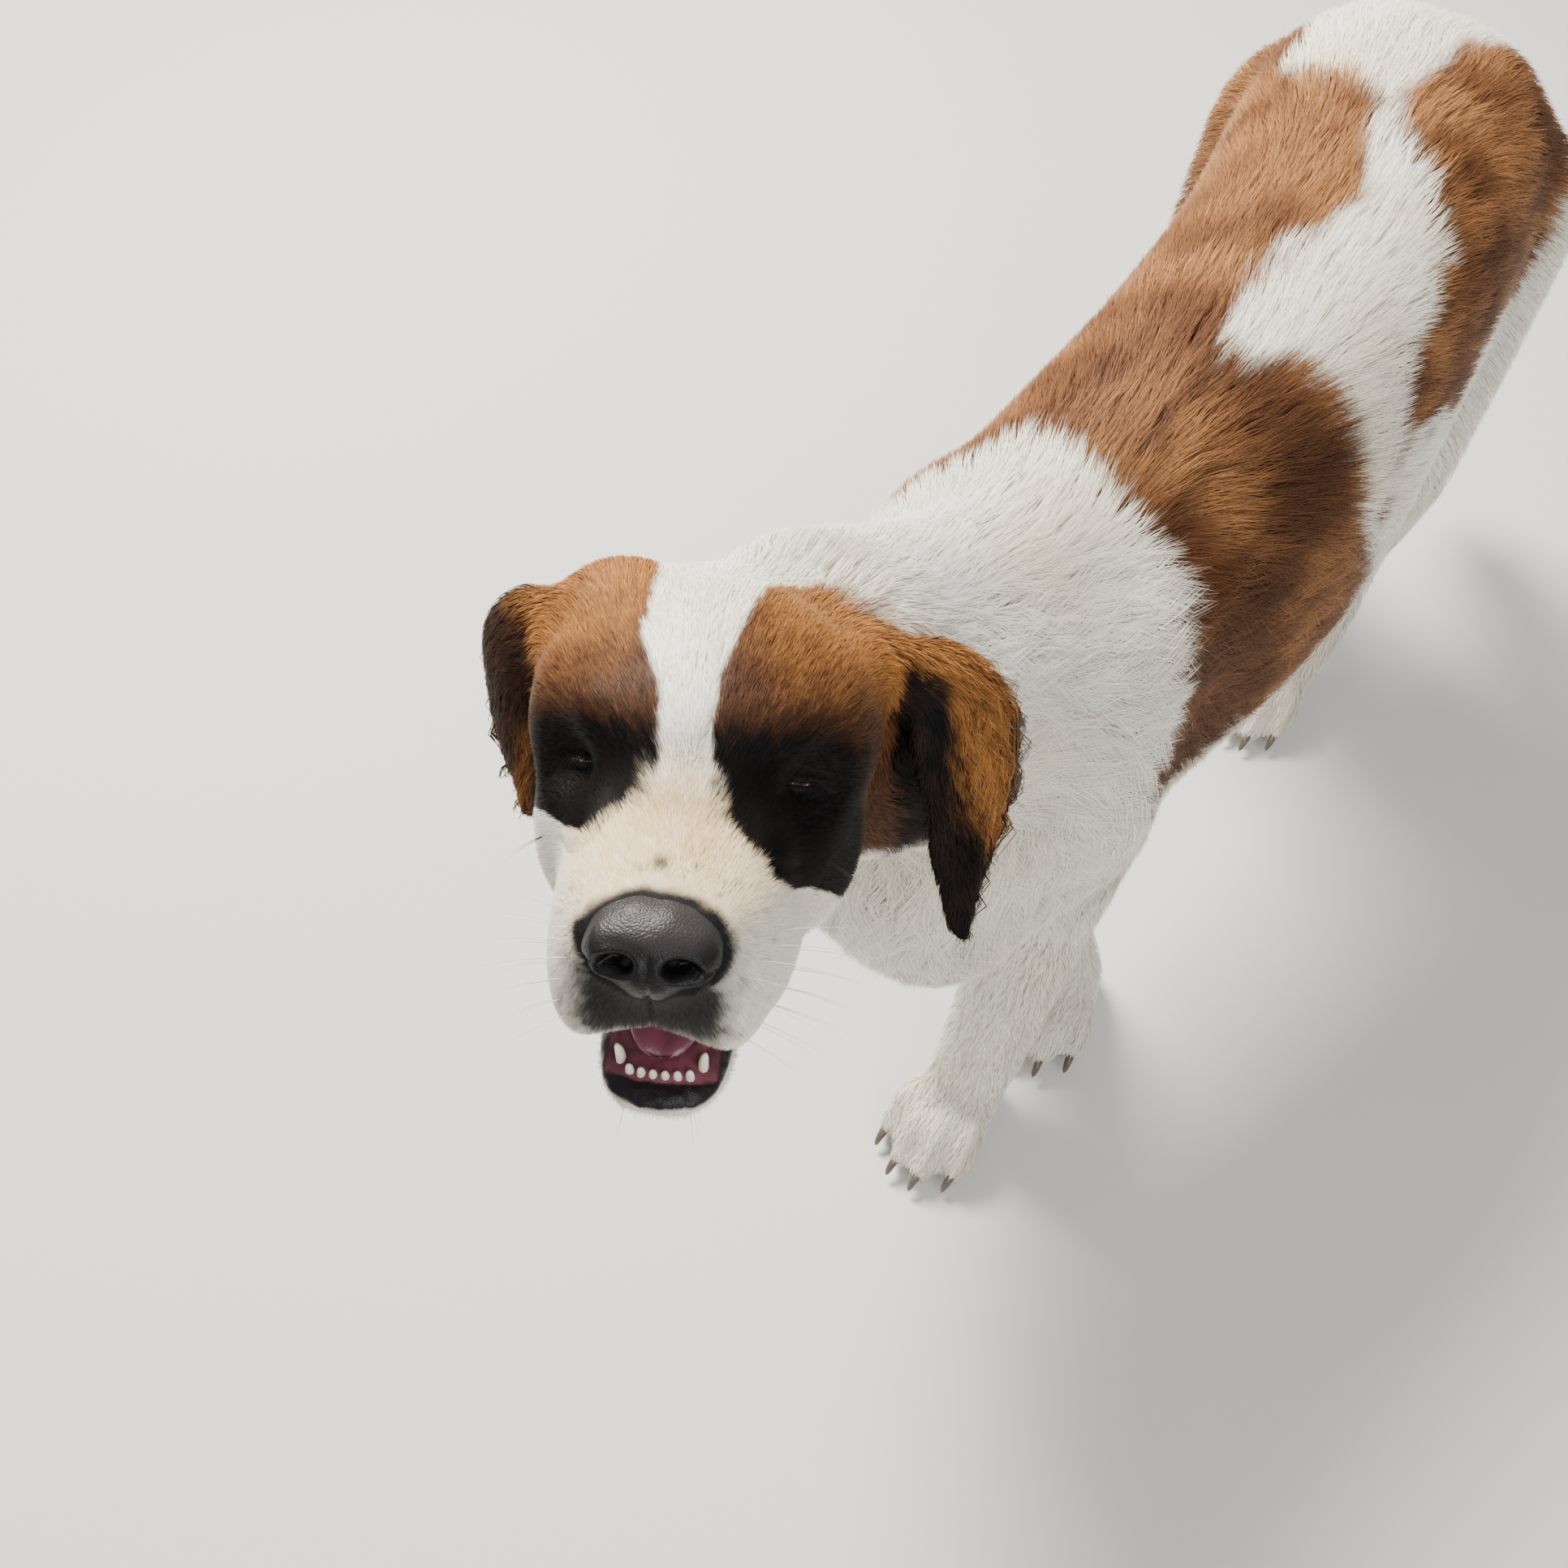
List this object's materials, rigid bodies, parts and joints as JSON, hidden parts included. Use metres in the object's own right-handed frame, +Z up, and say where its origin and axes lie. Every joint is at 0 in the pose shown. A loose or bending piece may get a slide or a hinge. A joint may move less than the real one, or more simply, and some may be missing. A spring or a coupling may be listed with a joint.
{
  "type": "saint bernard dog",
  "caption": "Life-size standing model of a large dog in mid-step, head raised and turned, mouth open, drooping ears and hanging tail, white with a brown saddle and dark eye patches.",
  "frame": {"origin": "middle of the model's footprint box, on the floor", "axes": "+Z up, the dog faces -Y, its left side is +X"},
  "size_m": [0.3434, 1.2878, 0.7858],
  "materials": {
    "white_coat": "matte, short dense fur with longer tufts",
    "brown_coat": "soft sheen, wavy fur",
    "black_coat": "soft sheen, short velvety fur",
    "nose_leather": "moist pebbled skin",
    "mouth_pink": "wet",
    "eye_surface": "wet gloss",
    "claw_horn": "satin horn"
  },
  "bodies": {
    "root": {"ear_left": "black_coat", "ear_right": "black_coat", "eye_left": "eye_surface", "eye_right": "eye_surface", "fore_left_claw_1": "claw_horn", "fore_left_claw_2": "claw_horn", "fore_left_claw_3": "claw_horn", "fore_left_claw_4": "claw_horn", "fore_right_claw_1": "claw_horn", "fore_right_claw_2": "claw_horn", "fore_right_claw_3": "claw_horn", "fore_right_claw_4": "claw_horn", "forechest": "white_coat", "forefoot_left": "white_coat", "forefoot_right": "white_coat", "foreleg_left": "white_coat", "foreleg_right": "white_coat", "head": "brown_coat", "hind_left_claw_1": "claw_horn", "hind_left_claw_2": "claw_horn", "hind_left_claw_3": "claw_horn", "hind_left_claw_4": "claw_horn", "hind_right_claw_1": "claw_horn", "hind_right_claw_2": "claw_horn", "hind_right_claw_3": "claw_horn", "hind_right_claw_4": "claw_horn", "hindfoot_left": "white_coat", "hindfoot_right": "white_coat", "hindquarters": "brown_coat", "lower_jaw": "white_coat", "neck": "white_coat", "nose": "nose_leather", "ribcage": "brown_coat", "shank_left": "white_coat", "shank_right": "white_coat", "tail_root": "white_coat", "tail_tip": "white_coat", "thigh_left": "brown_coat", "thigh_right": "brown_coat", "tongue": "mouth_pink"}
  },
  "joints": []
}
